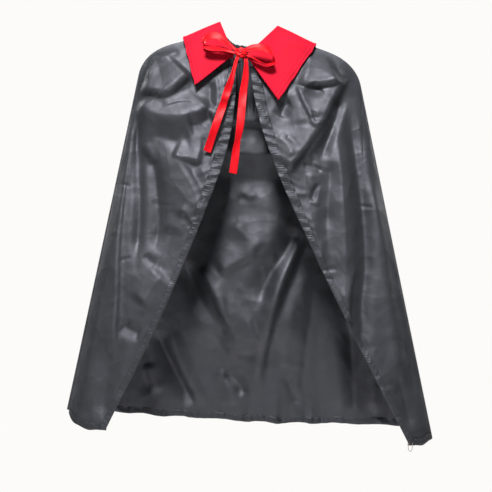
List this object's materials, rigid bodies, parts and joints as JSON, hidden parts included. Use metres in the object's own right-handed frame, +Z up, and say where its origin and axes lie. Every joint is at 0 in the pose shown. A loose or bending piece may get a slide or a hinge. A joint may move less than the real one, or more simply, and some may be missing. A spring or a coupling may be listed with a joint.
{
  "type": "costume cape",
  "caption": "Open-fronted hanging cape of thin black cloth with a red pointed collar, a gathered neck and a ribbon bow with two hanging tails.",
  "frame": {"origin": "middle of the neck opening, at the height of the gathered back neckline", "axes": "+Z up as the cape hangs, -Y out of its open front, +X to the viewer's right"},
  "size_m": [0.623, 0.1386, 0.7238],
  "materials": {
    "cape_nylon": "satin",
    "stitched_hem": "satin",
    "neck_casing": "satin",
    "collar_cloth": "matte",
    "collar_lining": "matte",
    "ribbon_satin": "satin",
    "hem_thread": "matte"
  },
  "bodies": {
    "cape": {"back_cloth": "cape_nylon", "back_hem": "stitched_hem", "left_shoulder_cloth": "cape_nylon", "right_shoulder_cloth": "cape_nylon", "left_upper_edge_hem": "stitched_hem", "right_upper_edge_hem": "stitched_hem", "neck_casing": "neck_casing", "drawn_ribbon": "ribbon_satin", "left_collar_lining": "collar_lining", "left_collar_top": "collar_cloth", "right_collar_lining": "collar_lining", "right_collar_top": "collar_cloth", "back_collar_lining": "collar_lining", "back_collar_top": "collar_cloth", "bow_knot": "ribbon_satin", "left_bow_loop": "ribbon_satin", "right_bow_loop": "ribbon_satin", "left_tie_end": "ribbon_satin", "right_tie_end": "ribbon_satin"},
    "left_front": {"left_front_cloth": "cape_nylon", "left_lower_edge_hem": "stitched_hem", "left_bottom_hem": "stitched_hem"},
    "right_front": {"right_front_cloth": "cape_nylon", "right_lower_edge_hem": "stitched_hem", "right_bottom_hem": "stitched_hem", "hem_thread_loop": "hem_thread"},
    "left_collar_point": {"left_collar_point_lining": "collar_lining", "left_collar_point_top": "collar_cloth"},
    "right_collar_point": {"right_collar_point_lining": "collar_lining", "right_collar_point_top": "collar_cloth"},
    "left_tail": {"left_ribbon_tail": "ribbon_satin"},
    "right_tail": {"right_ribbon_tail": "ribbon_satin"}
  },
  "joints": [
    {"name": "left_front_swing", "type": "hinge", "parent": "cape", "child": "left_front", "pos_m": [-0.192, 0, -0.05361], "axis": [-0.2055, 0, -0.9787], "range_deg": [0, 45]},
    {"name": "right_front_swing", "type": "hinge", "parent": "cape", "child": "right_front", "pos_m": [0.192, 0, -0.07239], "axis": [-0.2015, 0, 0.9795], "range_deg": [0, 45]},
    {"name": "left_collar_point_lift", "type": "hinge", "parent": "cape", "child": "left_collar_point", "pos_m": [-0.0776, -0.03061, -0.01971], "axis": [-0.8825, 0.2758, 0.381], "range_deg": [0, 80]},
    {"name": "right_collar_point_lift", "type": "hinge", "parent": "cape", "child": "right_collar_point", "pos_m": [0.05274, -0.03221, -0.03233], "axis": [-0.9544, -0.2096, -0.2123], "range_deg": [0, 80]},
    {"name": "left_tail_swing", "type": "hinge", "parent": "cape", "child": "left_tail", "pos_m": [-0.023, -0.0504, -0.02588], "axis": [-1, 0, 0], "range_deg": [0, 60]},
    {"name": "right_tail_swing", "type": "hinge", "parent": "cape", "child": "right_tail", "pos_m": [-0.003, -0.0504, -0.02685], "axis": [-1, 0, 0], "range_deg": [0, 60]}
  ]
}
